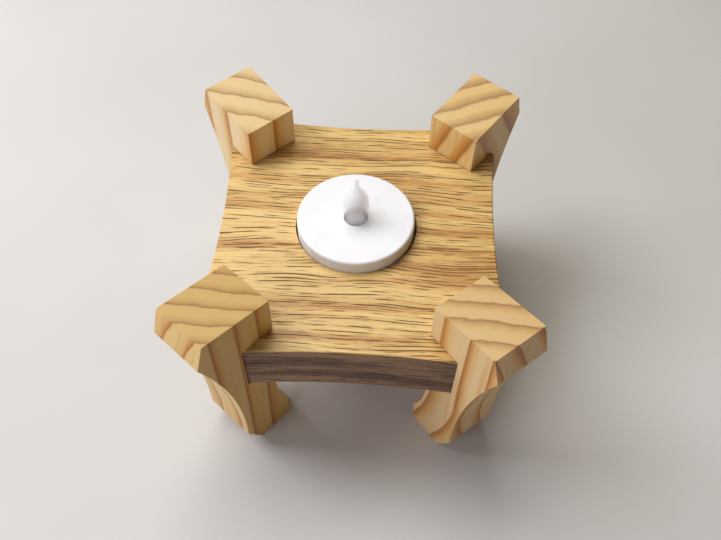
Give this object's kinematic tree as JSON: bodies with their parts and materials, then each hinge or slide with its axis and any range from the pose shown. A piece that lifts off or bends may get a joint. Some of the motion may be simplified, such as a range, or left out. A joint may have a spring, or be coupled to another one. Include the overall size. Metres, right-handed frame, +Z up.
{
  "type": "tea light stand",
  "caption": "Small four-legged wooden table for a battery tea light: square top with hollowed sides let into sawn legs, and a lift-out light with flame bulb.",
  "frame": {"origin": "on the surface the stand rests on, under the centre of the oak top", "axes": "+X along the grain of the top, to the right from the front; +Y to the back; +Z up"},
  "size_m": [0.1137, 0.1226, 0.081],
  "materials": {
    "oak": "satin",
    "pine": "satin",
    "white_plastic": "matte",
    "frosted_bulb": "frosted",
    "lamp_resin": "gloss",
    "cell_steel": "brushed",
    "tinned_wire": "bright",
    "contact_brass": "satin",
    "black_plastic": "matte"
  },
  "bodies": {
    "stand": {"top_plate": "oak", "front_left_leg": "pine", "front_right_leg": "pine", "back_right_leg": "pine", "back_left_leg": "pine"},
    "tea_light": {"light_housing": "white_plastic", "light_base": "white_plastic", "coin_cell": "cell_steel", "flame_bulb": "frosted_bulb", "led_lamp": "lamp_resin", "led_lead_positive": "tinned_wire", "led_lead_negative": "tinned_wire", "positive_contact": "contact_brass", "negative_contact": "contact_brass"},
    "battery_cover": {"battery_cover": "white_plastic"},
    "switch": {"switch_knob": "black_plastic", "switch_contact": "contact_brass"}
  },
  "joints": [
    {"name": "tea_light_lift", "type": "slide", "parent": "stand", "child": "tea_light", "axis": [0, 0, 1], "range_m": [0, 0.04]},
    {"name": "battery_cover_twist", "type": "hinge", "parent": "tea_light", "child": "battery_cover", "pos_m": [-0.0006, 0.0011, 0.0467], "axis": [0, 0, 1], "range_deg": [0, 40]},
    {"name": "switch_travel", "type": "slide", "parent": "tea_light", "child": "switch", "axis": [0, 1, 0], "range_m": [0, 0.002]}
  ]
}
